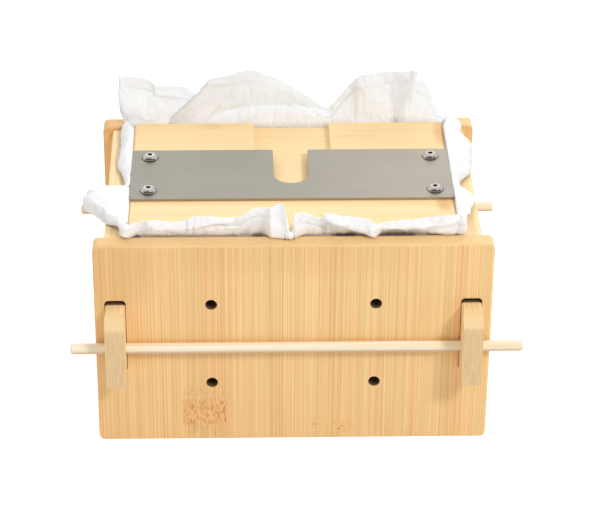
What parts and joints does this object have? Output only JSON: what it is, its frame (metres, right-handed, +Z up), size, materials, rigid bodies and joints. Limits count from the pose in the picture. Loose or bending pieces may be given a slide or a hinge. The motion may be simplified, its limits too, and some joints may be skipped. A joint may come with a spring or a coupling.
{
  "type": "tofu mold",
  "caption": "Knock-down bamboo tofu pressing box with dowel-locked tenons, grooved base, cloth lining and a press board with a slotted steel foot plate.",
  "frame": {"origin": "on the floor under the middle of the box", "axes": "+X to the right along the front panel, +Y from the front panel to the rear panel, +Z up"},
  "size_m": [0.2309, 0.169, 0.1471],
  "materials": {
    "bamboo_wall": "smooth bare bamboo, vertical strips",
    "bamboo_side": "smooth bare bamboo, end grain on the tenons",
    "bamboo_base": "smooth bare bamboo",
    "bamboo_press": "smooth bare bamboo, strips along its length",
    "dowel_wood": "bare turned bamboo",
    "satin_steel": "satin, brushed along its length",
    "polished_steel": "polished",
    "insert_brass": "turned",
    "straining_cloth": "soft woven cotton"
  },
  "bodies": {
    "box": {"front_panel": "bamboo_wall", "rear_panel": "bamboo_wall", "left_side_panel": "bamboo_side", "right_side_panel": "bamboo_side", "base_board": "bamboo_base", "cloth_lining": "straining_cloth", "cloth_rim": "straining_cloth"},
    "press": {"press_board": "bamboo_press", "slotted_steel_plate": "satin_steel", "plate_screws": "polished_steel", "threaded_inserts": "insert_brass"},
    "front_dowel": {"front_locking_dowel": "dowel_wood"},
    "rear_dowel": {"rear_locking_dowel": "dowel_wood"}
  },
  "joints": [
    {"name": "press_board_slide", "type": "slide", "parent": "box", "child": "press", "axis": [0, 0, 1], "range_m": [-0.082, 0.07]},
    {"name": "front_dowel_slide", "type": "slide", "parent": "box", "child": "front_dowel", "axis": [1, 0, 0], "range_m": [-0.212, 0.21]},
    {"name": "rear_dowel_slide", "type": "slide", "parent": "box", "child": "rear_dowel", "axis": [1, 0, 0], "range_m": [-0.21, 0.21]}
  ]
}
